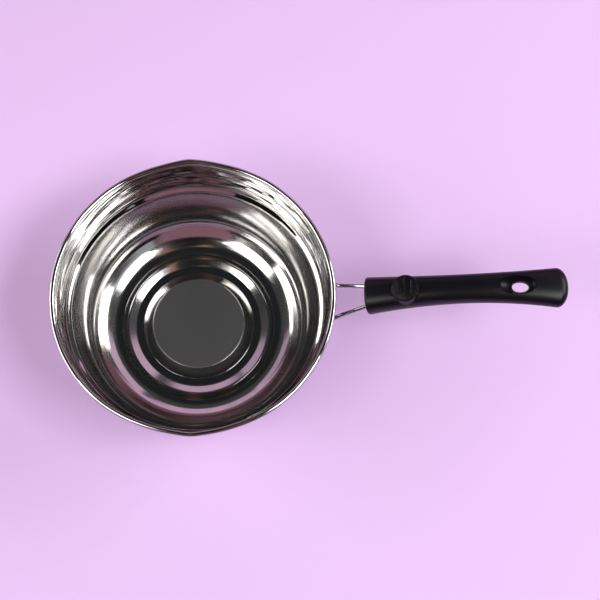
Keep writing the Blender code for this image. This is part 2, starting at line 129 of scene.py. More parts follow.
class Graph:
    """The nodes of one material or world."""

    def __init__(self, owner: bpy.types.Material | bpy.types.World) -> None:
        """Empty the owner's node tree.

        Args:
            owner: the material or world.
        """
        owner.use_nodes = True
        self.owner = owner
        self.tree = owner.node_tree
        self.tree.nodes.clear()

    def node(
        self, kind: str, settings: dict | None = None, inputs: dict | None = None, output: str | int = 0
    ) -> Socket | None:
        """Add a node, set it up, then feed its sockets.

        Args:
            kind: the node's type.
            settings: attributes, set before the sockets; "stops" fills a colour ramp.
            inputs: numbers, vectors or links, by socket name or index.
            output: the output that is wanted.

        Returns:
            That output, or None from a node that has no outputs.
        """
        made = self.tree.nodes.new(kind)
        for key, value in (settings or {}).items():
            if key == "stops":
                self.fill_ramp(made.color_ramp, value)
            else:
                setattr(made, key, value)
        for key, value in (inputs or {}).items():
            if isinstance(value, Socket):
                self.tree.links.new(value.output, made.inputs[key])
            else:
                made.inputs[key].default_value = value
        return Socket(self, made.outputs[output]) if made.outputs else None

    @staticmethod
    def fill_ramp(ramp: bpy.types.ColorRamp, stops: Sequence[tuple[float, float]]) -> None:
        """Set a ramp's stops.

        Args:
            ramp: the ramp of a Color Ramp node.
            stops: position and grey level of each stop, in order.
        """
        while len(ramp.elements) < len(stops):
            ramp.elements.new(1.0)
        for element, (position, level) in zip(ramp.elements, stops):
            element.position = position
            element.color = (level, level, level, 1.0)

    def math(self, operation: str, first: Value, second: Value) -> Socket:
        """One Math node."""
        return self.node("ShaderNodeMath", {"operation": operation}, {0: first, 1: second})

    def ramp(self, value: Socket, *stops: tuple[float, float]) -> Socket:
        """Pass a value through a ramp of grey levels."""
        return self.node("ShaderNodeValToRGB", {"stops": stops}, {"Fac": value})

    def step(self, value: Socket, low: float, high: float) -> Socket:
        """A smooth step from 0 at low to 1 at high."""
        inputs = {"Value": value, "From Min": low, "From Max": high}
        return self.node("ShaderNodeMapRange", {"interpolation_type": "SMOOTHSTEP"}, inputs)

    def noise(self, vector: Socket, scale: float, detail: float = 2.0, rough: float = 0.5) -> Socket:
        """Soft noise from 0 to 1: scale is the lumps in a unit, detail and rough are the finer layers."""
        inputs = {"Vector": vector, "Scale": scale, "Detail": detail, "Roughness": rough}
        return self.node("ShaderNodeTexNoise", {}, inputs)

    def split(self, vector: Socket) -> tuple[Socket, Socket, Socket]:
        """The three parts of a vector."""
        parts = self.node("ShaderNodeSeparateXYZ", {}, {0: vector}).output.node.outputs
        return tuple(Socket(self, part) for part in parts)

    def join(self, x: Value, y: Value, z: Value) -> Socket:
        """A vector of three parts."""
        return self.node("ShaderNodeCombineXYZ", {}, {0: x, 1: y, 2: z})

    def scaled(self, vector: Socket, factors: Triple) -> Socket:
        """A vector with each part multiplied."""
        return self.node("ShaderNodeVectorMath", {"operation": "MULTIPLY"}, {0: vector, 1: factors})

    def distance(self, vector: Socket, point: Vector) -> Socket:
        """How far a vector is from a point."""
        inputs = {0: vector, 1: tuple(point)}
        return self.node("ShaderNodeVectorMath", {"operation": "DISTANCE"}, inputs, "Value")

    def mix(self, factor: Value, first: "Socket | Colour", second: "Socket | Colour") -> Socket:
        """Blend two colours; a factor of 0 gives the first and 1 the second."""
        ends = [c if isinstance(c, Socket) else (*c, 1.0) for c in (first, second)]
        return self.node("ShaderNodeMix", {"data_type": "RGBA"}, {0: factor, 6: ends[0], 7: ends[1]}, 2)

    def bump(self, height: Socket, depth: float) -> Socket:
        """A normal tilted by a height map from 0 to 1, whose 1 stands so many metres high."""
        return self.node("ShaderNodeBump", {}, {"Height": height, "Distance": depth})

    def surface(
        self, colour: Socket, rough: Socket, height: Socket, depth: float, fixed: dict
    ) -> bpy.types.Material:
        """Finish the material with one Principled shader.

        Args:
            colour: the base colour.
            rough: the roughness.
            height: the bump's height map, from 0 to 1.
            depth: the height of 1, in metres.
            fixed: the shader's constants, by socket name.

        Returns:
            The material.
        """
        inputs = {"Base Color": colour, "Roughness": rough, "Normal": self.bump(height, depth), **fixed}
        shader = self.node("ShaderNodeBsdfPrincipled", {}, inputs)
        self.node("ShaderNodeOutputMaterial", {}, {"Surface": shader})
        return self.owner


# ---------------------------------------------------------------- finishes


@dataclass(frozen=True)
class Finish:
    """A material that varies over its piece."""

    name: str

    def start(self) -> tuple[Graph, Socket]:
        """The graph of a new material, and the point in the piece's own space."""
        graph = Graph(bpy.data.materials.new(self.name))
        return graph, graph.node("ShaderNodeTexCoord", output="Object")


@dataclass(frozen=True)
class SheetSteel(Finish):
    """Mirror-polished stainless sheet: turning lines, wipe marks, satin bottom, straw tint at the welds."""

    name: str = "mirror_steel_sheet"
    bright: Colour = (0.655, 0.645, 0.64)
    dull: Colour = (0.585, 0.575, 0.57)
    straw: Colour = (0.62, 0.50, 0.32)
    gloss: float = 0.045
    wiped: float = 0.035
    satin: float = 0.18
    brushed: float = 0.055
    brushed_top: float = 0.0425
    satin_radius: float = 0.0292
    line_pitch: float = 0.00040
    line_depth: float = 0.00000015
    lined: float = 0.012
    edge: float = 0.001
    tint_radius: float = 0.0052
    tint: float = 0.7

    def material(self, welds: Sequence[Vector]) -> bpy.types.Material:
        """Make the finish.

        Args:
            welds: points where heat has tinted the sheet.

        Returns:
            The material.
        """
        graph, place = self.start()
        x, y, z = graph.split(place)
        radius = (x * x + y * y) ** 0.5
        turn = graph.math("ARCTAN2", y, x)
        pitch = 1 / self.line_pitch
        lines = graph.noise(graph.join(radius * pitch, z * pitch, turn * 2.5), 1.0, 3.0, 0.6)
        bottom = 1 - graph.step(radius, self.satin_radius - self.edge, self.satin_radius)
        wipes = graph.ramp(graph.noise(place, 55.0, 5.0, 0.62), (0.40, 0.0), (0.68, 1.0)) * (1 - bottom)
        belly = 1 - graph.step(z, self.brushed_top - self.edge, self.brushed_top)
        rough = self.gloss + self.wiped * wipes + self.brushed * belly
        rough = rough + self.satin * bottom + self.lined * lines
        colour = graph.mix(wipes, self.bright, self.dull)
        for weld in welds:
            heat = 1 - graph.step(graph.distance(place, weld), self.tint_radius * 0.45, self.tint_radius)
            colour = graph.mix(heat * self.tint, colour, self.straw)
        return graph.surface(colour, rough, lines, self.line_depth, METAL)


@dataclass(frozen=True)
class DrawnWire(Finish):
    """Bright drawn wire: fine lines along its run and a few dull patches."""

    name: str = "drawn_steel_wire"
    bright: Colour = (0.50, 0.49, 0.485)
    dull: Colour = (0.38, 0.375, 0.37)
    gloss: float = 0.07
    line_depth: float = 0.0000003

    def material(self) -> bpy.types.Material:
        """Make the finish."""
        graph, place = self.start()
        lines = graph.noise(graph.scaled(place, (0.02, 1.0, 1.0)), 4200.0, 2.0, 0.5)
        patches = graph.ramp(graph.noise(place, 160.0, 3.0, 0.5), (0.55, 0.0), (0.85, 1.0))
        colour = graph.mix(patches * 0.6 + lines * 0.3, self.bright, self.dull)
        rough = self.gloss + 0.08 * patches + 0.03 * lines
        return graph.surface(colour, rough, lines, self.line_depth, METAL)


@dataclass(frozen=True)
class WeldMetal(Finish):
    """Rough metal of a spot weld, with blue and straw heat colours."""

    name: str = "spot_weld_metal"
    core: Colour = (0.34, 0.33, 0.34)
    rim: Colour = (0.46, 0.36, 0.25)
    lump_height: float = 0.00004

    def material(self) -> bpy.types.Material:
        """Make the finish."""
        graph, place = self.start()
        lumps = graph.noise(place, 1800.0, 4.0, 0.65)
        colour = graph.mix(graph.step(lumps, 0.40, 0.62), self.core, self.rim)
        return graph.surface(colour, 0.28 + 0.25 * lumps, lumps, self.lump_height, METAL)


@dataclass(frozen=True)
class PlatedSteel(Finish):
    """Zinc-plated fastener steel: cloudy, slightly blue, a little worn."""

    name: str = "zinc_plated_steel"
    clean: Colour = (0.60, 0.62, 0.65)
    cloudy: Colour = (0.42, 0.43, 0.45)
    grain_depth: float = 0.000006

    def material(self) -> bpy.types.Material:
        """Make the finish."""
        graph, place = self.start()
        clouds = graph.noise(place, 700.0, 4.0, 0.6)
        grain = graph.noise(place, 9000.0, 2.0, 0.5)
        colour = graph.mix(graph.step(clouds, 0.35, 0.70), self.clean, self.cloudy)
        return graph.surface(colour, 0.24 + 0.18 * clouds + 0.06 * grain, grain, self.grain_depth, METAL)


@dataclass(frozen=True)
class MouldedResin(Finish):
    """Satin black moulding: fine spark grain, faint flow clouds, dust in the grain and thin rub marks."""

    base: Colour
    rubbed: Colour
    rough: float
    grain_size: float = 0.00022
    grain_depth: float = 0.000010
    shine: float = 0.25

    def material(self) -> bpy.types.Material:
        """Make the finish."""
        graph, place = self.start()
        grain = graph.noise(place, 1 / self.grain_size, 2.0, 0.55)
        clouds = graph.noise(graph.scaled(place, (0.5, 1.0, 1.0)), 120.0, 4.0, 0.6)
        dust = graph.step(graph.noise(place, 1500.0, 2.0, 0.7), 0.70, 0.78)
        rubs = graph.step(graph.noise(graph.scaled(place, (1.0, 0.06, 1.0)), 900.0, 2.0, 0.5), 0.66, 0.74)
        worn = dust * 0.45 + rubs * 0.20 + clouds * 0.35
        rough = self.rough + 0.10 * clouds + 0.05 * grain - 0.04 * rubs
        colour = graph.mix(worn, self.base, self.rubbed)
        return graph.surface(colour, rough, grain, self.grain_depth, {"Specular IOR Level": self.shine})


GRIP_RESIN = MouldedResin("satin_black_resin", (0.0028, 0.0028, 0.0046), (0.0070, 0.0070, 0.0100), 0.26)
CAP_RESIN = MouldedResin("satin_black_cap_resin", (0.0020, 0.0020, 0.0032), (0.0055, 0.0055, 0.0080), 0.28)


@dataclass(frozen=True)
class BackdropPaper(Finish):
    """Plain pale lilac backdrop with a soft paper tooth."""

    name: str = "lilac_backdrop"
    colour: Colour = (0.80, 0.575, 0.94)
    faded: Colour = (0.82, 0.585, 0.95)
    tooth_height: float = 0.00004
    shine: float = 0.2

    def material(self) -> bpy.types.Material:
        """Make the finish."""
        graph, place = self.start()
        tooth = graph.noise(place, 900.0, 3.0, 0.6)
        drift = graph.noise(place, 6.0, 2.0, 0.5)
        colour = graph.mix(drift, self.colour, self.faded)
        fixed = {"Specular IOR Level": self.shine}
        return graph.surface(colour, 0.7 + 0.1 * tooth, tooth, self.tooth_height, fixed)


# ---------------------------------------------------------------- outlines


def around(count: int) -> list[float]:
    """Equal steps of angle round a full turn."""
    return [math.tau * k / count for k in range(count)]


def arc(centre: Point, radius: float, start: float, end: float, steps: int) -> list[Point]:
    """Points on an arc in so many spans, both ends included."""
    turns = [start + (end - start) * k / steps for k in range(steps + 1)]
    return [(centre[0] + radius * math.cos(t), centre[1] + radius * math.sin(t)) for t in turns]


def bend(before: Vector, corner: Vector, after: Vector, radius: float, steps: int) -> list[Vector]:
    """An arc that rounds one corner of a path.

    Args:
        before: the point before the corner.
        corner: the corner.
        after: the point after it.
        radius: the arc's radius; 0 keeps the corner.
        steps: how many spans the arc has.

    Returns:
        The arc's points.
    """
    if radius == 0:
        return [corner]
    towards = (before - corner).normalized()
    away = (after - corner).normalized()
    half = towards.angle(away) / 2
    centre = corner + (towards + away).normalized() * radius / math.sin(half)
    first = corner + towards * radius / math.tan(half) - centre
    last = corner + away * radius / math.tan(half) - centre
    return [centre + first.slerp(last, k / steps).normalized() * radius for k in range(steps + 1)]


def rounded(corners: Sequence[Corner], steps: int = 6) -> list[Point]:
    """A flat path through corners, each with its own radius.

    Args:
        corners: x, y and radius of each corner.
        steps: how many spans each arc has.

    Returns:
        The path's points.
    """
    places = [Vector(corner[:2]) for corner in corners]
    path = [places[0]]
    for k in range(1, len(corners) - 1):
        path += bend(places[k - 1], places[k], places[k + 1], corners[k][2], steps)
    path.append(places[-1])
    return [tuple(point) for point in path]


def refined(path: Sequence[Point], longest: float) -> list[Point]:
    """The same flat path, with no span longer than a limit.

    Args:
        path: the path's points.
        longest: the longest span that may stay.

    Returns:
        The path with points added.
    """
    fine = [path[0]]
    for (x0, y0), (x1, y1) in zip(path, path[1:]):
        count = max(1, math.ceil(math.hypot(x1 - x0, y1 - y0) / longest))
        fine += [(x0 + (x1 - x0) * k / count, y0 + (y1 - y0) * k / count) for k in range(1, count + 1)]
    return fine


def ease(value: float, low: float, high: float) -> float:
    """A smooth step from 0 at low to 1 at high."""
    share = min(1.0, max(0.0, (value - low) / (high - low)))
    return share * share * (3 - 2 * share)


# ---------------------------------------------------------------- solids


class Solid:
    """One mesh object under construction."""

    def __init__(self, name: str, points: Sequence[Vector], faces: Sequence[Sequence[int]]) -> None:
        """Make the object from its points and faces.

        Args:
            name: the object's name.
            points: the vertices.
            faces: vertex numbers of each face.
        """
        mesh = bpy.data.meshes.new(name)
        mesh.from_pydata([tuple(point) for point in points], [], [tuple(face) for face in faces])
        mesh.update()
        self.obj = bpy.data.objects.new(name, mesh)
        self.helpers: list[bpy.types.Object] = []
        bpy.context.scene.collection.objects.link(self.obj)

    @classmethod
    def skinned(
        cls, name: str, rings: Sequence[Sequence[Vector]], first: End = End.FLAT, last: End = End.FLAT
    ) -> "Solid":
        """Join closed rings of equal point count, one after another.

        Args:
            name: the object's name.
            rings: the rings, in order.
            first: how the first ring closes.
            last: how the last ring closes.

        Returns:
            The solid. A closed one has its faces turned outwards.
        """
        points: list[Vector] = []
        loops: list[list[int]] = []
        for ring, end in zip(rings, [first] + [End.OPEN] * (len(rings) - 2) + [last]):
            if end is End.POINT:
                loops.append([len(points)] * len(ring))
                points.append(sum(ring, Vector()) / len(ring))
            else:
                loops.append(list(range(len(points), len(points) + len(ring))))
                points += ring
        faces = []
        for loop, following in zip(loops, loops[1:]):
            for k in range(len(loop)):
                after = (k + 1) % len(loop)
                corners = (loop[k], loop[after], following[after], following[k])
                faces.append(tuple(dict.fromkeys(corners)))
        if first is End.FLAT:
            faces.append(tuple(reversed(loops[0])))
        if last is End.FLAT:
            faces.append(tuple(loops[-1]))
        made = cls(name, points, faces)
        return made if End.OPEN in (first, last) else made.facing_out()

    @classmethod
    def turned(cls, name: str, profile: Sequence[Point], steps: int) -> "Solid":
        """Turn a profile of radius and height about Z, in so many columns."""
        rings = [[Vector((r * math.cos(t), r * math.sin(t), z)) for t in around(steps)] for r, z in profile]
        return cls.skinned(name, rings, End.POINT, End.POINT)

    def facing_out(self) -> "Solid":
        """Turn every face outwards."""
        shape = bmesh.new()
        shape.from_mesh(self.obj.data)
        bmesh.ops.recalc_face_normals(shape, faces=shape.faces)
        shape.to_mesh(self.obj.data)
        shape.free()
        return self

    def put(self, place: Matrix) -> "Solid":
        """Move the object, its origin with it."""
        self.obj.matrix_world = place
        return self

    def combine(self, other: "Solid", how: Cut) -> None:
        """Cut another solid out of this one, or join it on. The other is used up."""
        self.modifier("BOOLEAN", operation=how.value, solver="EXACT", object=other.obj)
        self.helpers.append(other.obj)

    def modifier(self, kind: str, **settings: object) -> None:
        """Add a modifier.

        Args:
            kind: the modifier's type.
            **settings: its attributes.
        """
        made = self.obj.modifiers.new(kind.lower(), kind)
        for key, value in settings.items():
            setattr(made, key, value)

    def soften(self, width: float, over: float) -> "Solid":
        """Round the edges that bend more than an angle.

        Args:
            width: how much is rounded.
            over: the angle, in degrees.

        Returns:
            This solid.
        """
        limit = math.radians(over)
        self.modifier("BEVEL", width=width, segments=2, limit_method="ANGLE", angle_limit=limit)
        return self

    def settle(self, sharp: float) -> "Solid":
        """Apply the modifiers, drop the helpers and shade the result smooth.

        Args:
            sharp: edges over this angle, in degrees, stay sharp.

        Returns:
            This solid.
        """
        bpy.context.view_layer.update()
        graph = bpy.context.evaluated_depsgraph_get()
        mesh = bpy.data.meshes.new_from_object(self.obj.evaluated_get(graph))
        mesh.name = self.obj.name
        self.obj.modifiers.clear()
        self.obj.data = mesh
        for helper in self.helpers:
            bpy.data.objects.remove(helper)
        self.helpers = []
        mesh.shade_smooth()
        mesh.set_sharp_from_angle(angle=math.radians(sharp))
        return self

    def dress(self, material: bpy.types.Material, slot: Slot, *stands_for: str) -> None:
        """Give the piece its finish and hang it on the frame.

        Args:
            material: the finish.
            slot: the record's material slot; not used.
            *stands_for: CAD nodes that the piece replaces.
        """
        self.obj.data.materials.clear()
        self.obj.data.materials.append(material)
        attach(self.obj, BODY)
        if stands_for:
            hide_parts(*stands_for)
        LOG.info("%s: %d faces", self.obj.name, len(self.obj.data.polygons))


# ---------------------------------------------------------------- bowl


@dataclass(frozen=True)
class Lip:
    """One pouring lip."""

    angle: float
    turn: float


@dataclass(frozen=True)
class Bowl:
    """The drawn bowl: rolled rim, two lips, belly and a stepped bottom.

    A corner of its section is a radius, a height and the radius of its rounding.
    """

    axis: Vector
    finish: SheetSteel = SheetSteel()
    rim_radius: float = 0.0820
    rim_height: float = 0.0704
    bead: float = 0.0016
    sheet: float = 0.0007
    curl_from: float = math.radians(-105)
    curl_to: float = math.radians(174)
    band_foot: Corner = (0.0761, 0.0444, 0.0015)
    step_height: float = 0.0422
    step_round: float = 0.0018
    belly_radius: float = 0.0733
    belly_top: float = 0.0410
    belly_foot: Corner = (0.0622, 0.0064, 0.0060)
    belly_middle: float = 0.0580
    belly_depth: float = 0.0360
    belly_steps: int = 48
    cone_top: Corner = (0.0575, 0.0032, 0.0240)
    ring_outer: float = 0.0515
    ring_outer_round: float = 0.0120
    ring_inner: float = 0.0474
    ring_inner_round: float = 0.0012
    crest: Corner = (0.0442, 0.0037, 0.0012)
    groove_outer: Corner = (0.0388, 0.0016, 0.0030)
    groove_inner: Corner = (0.0342, 0.0014, 0.0008)
    plateau: Corner = (0.0283, 0.0066, 0.0004)
    columns: int = 360
    longest_span: float = 0.0008
    lips: tuple[Lip, ...] = (Lip(math.radians(90), math.radians(3)), Lip(math.radians(-90), 0.0))
    lip_spread: float = math.radians(38)
    lip_out: float = 0.0009
    lip_rise: float = 0.0006
    lip_flatten: float = 4.5
    lip_blunt: float = 0.05
    lip_fade: float = 1.3
    ripple_size: float = 0.000055
    ripple_pitch: float = 0.0085
    ripple_start: Point = (0.034, 0.050)
    dimple_wide: float = 0.0017
    dimple_tall: float = 0.0026
    dimple_depth: float = 0.00028

    def profile(self) -> list[Point]:
        """The inner skin, from the curl's free edge over the rim and down to the axis."""
        rim = (self.rim_radius - self.bead, self.rim_height)
        curl = arc(rim, self.bead, self.curl_from, self.curl_to, 22)
        step = (self.belly_radius, self.step_height, self.step_round)
        band = rounded([(*curl[-1], 0), self.band_foot, step, (self.belly_radius, self.belly_top, 0)])
        reach = self.belly_radius - self.belly_middle
        foot_turn = math.asin((self.belly_foot[0] - self.belly_middle) / reach) - math.pi / 2
        # The last spans of the belly's ellipse are left to the rounding at its foot.
        turns = [math.pi / 2 + foot_turn * k / self.belly_steps for k in range(1, self.belly_steps - 3)]
        outs = [self.belly_middle + reach * math.sin(t) for t in turns]
        belly = [(out, self.belly_top - self.belly_depth * math.cos(t)) for out, t in zip(outs, turns)]
        bottom = rounded(
            [
                (*belly[-1], 0),
                self.belly_foot,
                self.cone_top,
                (self.ring_outer, self.sheet, self.ring_outer_round),
                (self.ring_inner, self.sheet, self.ring_inner_round),
                self.crest,
                self.groove_outer,
                self.groove_inner,
                self.plateau,
                (0.0, self.plateau[1], 0),
            ]
        )
        return curl[:-1] + refined(curl[-1:] + band[1:] + belly + bottom[1:], self.longest_span)

    def lip_shape(self, offset: float) -> float:
        """How far out a lip presses the rim, at this share of its spread."""
        blunt = math.hypot(offset, self.lip_blunt) - self.lip_blunt
        return (1 - blunt) ** 2 * (1 - self.lip_flatten * blunt)

    def ripple(self, height: float, azimuth: float) -> float:
        """How far the drawn sheet stands off its true shape, in waves that keep no common count.

        Args:
            height: the point's height.
            azimuth: the point's angle about the bowl.

        Returns:
            The distance away from the axis.
        """
        wave = math.tau * height / self.ripple_pitch
        swell = math.sin(wave + 2.2 * math.sin(3 * azimuth))
        swell += 0.45 * math.sin(1.8 * wave + 1.6 * math.sin(5 * azimuth + 1))
        swell += 0.8 * math.sin(13 * azimuth + 90 * height)
        swell += 0.5 * math.sin(29 * azimuth - 150 * height + 2)
        return self.ripple_size * swell * ease(height, *self.ripple_start)

    def dimple(self, height: float, azimuth: float, feet: Sequence[Vector]) -> float:
        """How far the welding tip pushed the wall in.

        Args:
            height: the point's height.
            azimuth: the point's angle about the bowl.
            feet: middles of the wire's feet, about the bowl's axis.

        Returns:
            The distance towards the axis.
        """
        pushed = 0.0
        for foot in feet:
            across = (azimuth - math.atan2(foot.y, foot.x)) * self.rim_radius
            along = (height - foot.z) / self.dimple_tall
            pushed += math.exp(-((across / self.dimple_wide) ** 2) - along**2)
        return pushed * self.dimple_depth

    def point(self, radius: float, height: float, azimuth: float, feet: Sequence[Vector]) -> Vector:
        """Where a point of the turned skin lies once the lips are pressed.

        Args:
            radius: the profile's radius.
            height: the profile's height.
            azimuth: the column's angle.
            feet: middles of the wire's feet.

        Returns:
            The point.
        """
        depth = max(0.0, self.band_share(height))
        shift = self.ripple(height, azimuth) - self.dimple(height, math.remainder(azimuth, math.tau), feet)
        turned, lifted = azimuth, height
        for lip in self.lips:
            offset = abs(math.remainder(azimuth - lip.angle, math.tau)) / self.lip_spread
            if offset < 1:
                shift += self.lip_out * depth**self.lip_fade * self.lip_shape(offset)
                turned += lip.turn * (1 - offset) * min(1.0, depth)
                lifted += self.lip_rise * depth * (1 - offset) ** 2
        out = radius + shift if radius > self.ring_outer else radius
        return Vector((out * math.cos(turned), out * math.sin(turned), lifted))

    def build(self, feet: Sequence[Vector]) -> None:
        """Make the bowl, with a weld mark at the middle of each foot of the wire.

        Args:
            feet: those middles, about the bowl's axis.
        """
        turns = around(self.columns)
        rings = [[self.point(r, z, t, feet) for t in turns] for r, z in self.profile()]
        bowl = Solid.skinned("steel_bowl", rings, End.OPEN, End.POINT)
        bowl.modifier("SOLIDIFY", thickness=self.sheet, offset=-1.0, use_even_offset=True)
        bowl.put(Matrix.Translation(self.axis)).settle(30.0)
        bowl.dress(self.finish.material(feet), Slot.STEEL, "pot_bowl")

    def wall_radius(self, height: float) -> float:
        """The outside of the band at this height."""
        top = self.rim_radius - 2 * self.bead
        return self.band_foot[0] + (top - self.band_foot[0]) * self.band_share(height) + self.sheet

    def band_share(self, height: float) -> float:
        """How far up the band a height is, from 0 at its foot to 1 at the rim."""
        return (height - self.band_foot[1]) / (self.rim_height - self.band_foot[1])


# ---------------------------------------------------------------- grip


@dataclass(frozen=True)
class Spine:
    """The grip's middle line, which climbs from the pot and levels out."""

    front: float = 0.1005
    end: float = 0.2125
    start_height: float = 0.0670
    slope: float = 0.394
    bow: float = 2.14

    def height(self, at: float) -> float:
        """The height at a distance from the pot's axis."""
        run = at - self.front
        return self.start_height + self.slope * run - self.bow * run * run

    def frame(self, at: float) -> Matrix:
        """A frame on the line: X along it towards the end, Z square to it and up."""
        lean = math.atan(self.slope - 2 * self.bow * (at - self.front))
        return Matrix.Translation((at, 0.0, self.height(at))) @ Matrix.Rotation(-lean, 4, "Y")


@dataclass(frozen=True)
class Stack:
    """Sizes along the clamp screw's axis. Heights are above the spine."""

    at: float = 0.1225
    collar_radius: float = 0.0079
    collar_flare: float = 0.0006
    collar_top: float = 0.0089
    socket_radius: float = 0.0054
    socket_floor: float = 0.0064
    hole_radius: float = 0.0024
    counterbore_radius: float = 0.0048
    counterbore_roof: float = -0.0036
    gap: float = 0.0003


@dataclass(frozen=True)
class WireShape:
    """Sizes of the bent wire."""

    radius: float = 0.0013
    bend: float = 0.0040
    spread_at_grip: float = 0.0058
    spread_at_pot: float = 0.0094
    pot_point: Point = (0.0835, 0.0567)
    foot_angle: float = math.radians(8)
    foot_top: float = 0.0543
    foot_bottom: float = 0.0478
    loop_height: float = -0.0006
    clearance: float = 0.0004
    wall_gap: float = 0.0003


def loop_frame(spine: Spine, stack: Stack, wire: WireShape) -> tuple[Matrix, float]:
    """The plane in which the wire's loop lies inside the grip.

    Args:
        spine: the grip's middle line.
        stack: the clamp screw's sizes.
        wire: the wire's sizes.

    Returns:
        A frame with its origin at the loop's centre and X towards the grip's front, and the distance there.
    """
    centre = spine.frame(stack.at) @ Vector((0.0, 0.0, wire.loop_height))
    front = Vector((spine.front, 0.0, spine.start_height))
    forward = (front - centre).normalized()
    up = Vector((0.0, 1.0, 0.0)).cross(forward)
    turn = Matrix((forward, (0.0, 1.0, 0.0), -up)).transposed().to_4x4()
    return Matrix.Translation(centre) @ turn, (front - centre).length


@dataclass(frozen=True)
class Grip:
    """The moulded grip: collar for the cap, bore for the screw, slot for the wire and hanging hole.

    The hanging hole is a row of oval sections: height above the spine, half length, half width and shift.
    """

    axis: Vector
    spine: Spine
    stack: Stack
    wire: WireShape
    dome: float = 0.0065
    waist_at: float = 0.1530
    waist_half_width: float = 0.0083
    front_flare: float = 0.0026
    end_flare: float = 0.0032
    end_half_height: float = 0.0062
    front_swell: float = 0.0024
    squareness: float = 2.3
    front_edge: float = 0.0010
    points: int = 72
    edge_steps: int = 6
    body_steps: int = 64
    dome_steps: int = 16
    seam_height: float = 0.00006
    edge_round: float = 0.00022
    collar_round: float = 0.0005
    collar_waist: float = 0.0035
    slot_overrun: float = 0.01
    bore_overrun: float = 0.02
    socket_lead: float = 0.0003
    finish: MouldedResin = GRIP_RESIN
    hang_hole_at: float = 0.1828
    hang_hole: tuple[tuple[float, float, float, float], ...] = (
        (0.0090, 0.0123, 0.0072, 0.0),
        (0.0066, 0.0111, 0.0062, 0.0002),
        (0.0054, 0.0103, 0.0055, 0.0004),
        (0.0046, 0.0091, 0.0049, 0.0008),
        (0.0035, 0.0075, 0.0042, 0.0014),
        (0.0019, 0.0057, 0.0034, 0.0021),
        (0.0002, 0.0047, 0.0029, 0.0025),
        (-0.0014, 0.0050, 0.0031, 0.0026),
        (-0.0030, 0.0060, 0.0036, 0.0025),
        (-0.0052, 0.0082, 0.0048, 0.0022),
        (-0.0090, 0.0105, 0.0066, 0.0020),
    )

    def half_width(self, at: float) -> float:
        """Half the grip's width, which is least at its waist and flares to both ends.

        Args:
            at: the distance from the pot's axis.

        Returns:
            The half width there.
        """
        if at < self.waist_at:
            share = (self.waist_at - at) / (self.waist_at - self.spine.front)
            return self.waist_half_width + self.front_flare * share**2
        share = (at - self.waist_at) / (self.spine.end - self.dome - self.waist_at)
        return self.waist_half_width + self.end_flare * share**1.9

    def half_height(self, at: float) -> float:
        """Half the grip's height, which thins out from its front to its end.

        Args:
            at: the distance from the pot's axis.

        Returns:
            The half height there.
        """
        dome_start = self.spine.end - self.dome
        left = max(0.0, (dome_start - at) / (dome_start - self.spine.front))
        return self.end_half_height + self.front_swell * left**1.5

    def section(self, at: float, wide: float, high: float) -> list[Vector]:
        """A rounded-square section, square to the spine, with the moulding seam at its sides.

        Args:
            at: the distance from the pot's axis.
            wide: the half width.
            high: the half height.

        Returns:
            The section's points.
        """
        place = self.spine.frame(at)
        ring = []
        for k in range(self.points):
            turn = math.tau * k / self.points
            power = 2 / self.squareness
            seam = self.seam_height if k % (self.points // 2) == 0 else 0.0
            y = math.copysign(abs(math.cos(turn)) ** power, math.cos(turn)) * (wide + seam)
            z = math.copysign(abs(math.sin(turn)) ** power, math.sin(turn)) * high
            ring.append(place @ Vector((0.0, y, z)))
        return ring

    def body(self) -> Solid:
        """The grip before anything is cut: rounded front edge, long body and domed end."""
        rings = []
        start, edge = self.spine.front, self.front_edge
        for k in range(self.edge_steps + 1):
            turn = math.pi / 2 * k / self.edge_steps
            inset = edge * (1 - math.sin(turn))
            at = start + edge * (1 - math.cos(turn))
            rings.append(self.section(at, self.half_width(at) - inset, self.half_height(at) - inset))
        dome_start = self.spine.end - self.dome
        for k in range(1, self.body_steps + 1):
            at = start + edge + (dome_start - start - edge) * k / self.body_steps
            rings.append(self.section(at, self.half_width(at), self.half_height(at)))
        for k in range(1, self.dome_steps):
            share = math.sin(math.pi / 2 * k / self.dome_steps)
            wide = self.half_width(dome_start) * math.sqrt(1 - share**2)
            high = self.half_height(dome_start) * math.sqrt(1 - share**3)
            rings.append(self.section(dome_start + self.dome * share, wide, high))
        return Solid.skinned("moulded_grip", rings)

    def collar(self) -> Solid:
        """The round collar under the cap, filleted into the grip."""
        stack = self.stack
        foot = stack.collar_radius + stack.collar_flare
        top = (stack.collar_radius, stack.collar_top, self.collar_round)
        corners = [(0.0, stack.collar_top, 0), top, (foot, self.collar_waist, 0), (foot, 0.0, 0)]
        return Solid.turned("collar", [*rounded(corners), (0.0, 0.0)], 96)

    def bore(self) -> Solid:
        """The cap's socket, the screw's hole and the counterbore below, as one cutter."""
        stack, beyond, lead = self.stack, self.bore_overrun, self.socket_lead
        wide, narrow, below = stack.socket_radius, stack.hole_radius, stack.counterbore_radius
        corners = [(0.0, beyond), (wide + lead, beyond), (wide + lead, stack.collar_top)]
        corners += [(wide, stack.collar_top - lead), (wide, stack.socket_floor)]
        corners += [(narrow, stack.socket_floor), (narrow, stack.counterbore_roof)]
        corners += [(below, stack.counterbore_roof), (below, -beyond), (0.0, -beyond)]
        return Solid.turned("bore", corners, 64)

    def slot(self) -> Solid:
        """The flat slot for the wire, open at the grip's front."""
        place, length = loop_frame(self.spine, self.stack, self.wire)
        half = self.wire.spread_at_grip + self.wire.radius + self.wire.clearance
        outline = arc((0.0, 0.0), half, math.pi / 2, 3 * math.pi / 2, 32)
        outline += [(length + self.slot_overrun, -half), (length + self.slot_overrun, half)]
        thick = self.wire.radius + self.wire.clearance
        rings = [[place @ Vector((x, y, side)) for x, y in outline] for side in (-thick, thick)]
        return Solid.skinned("slot", rings)

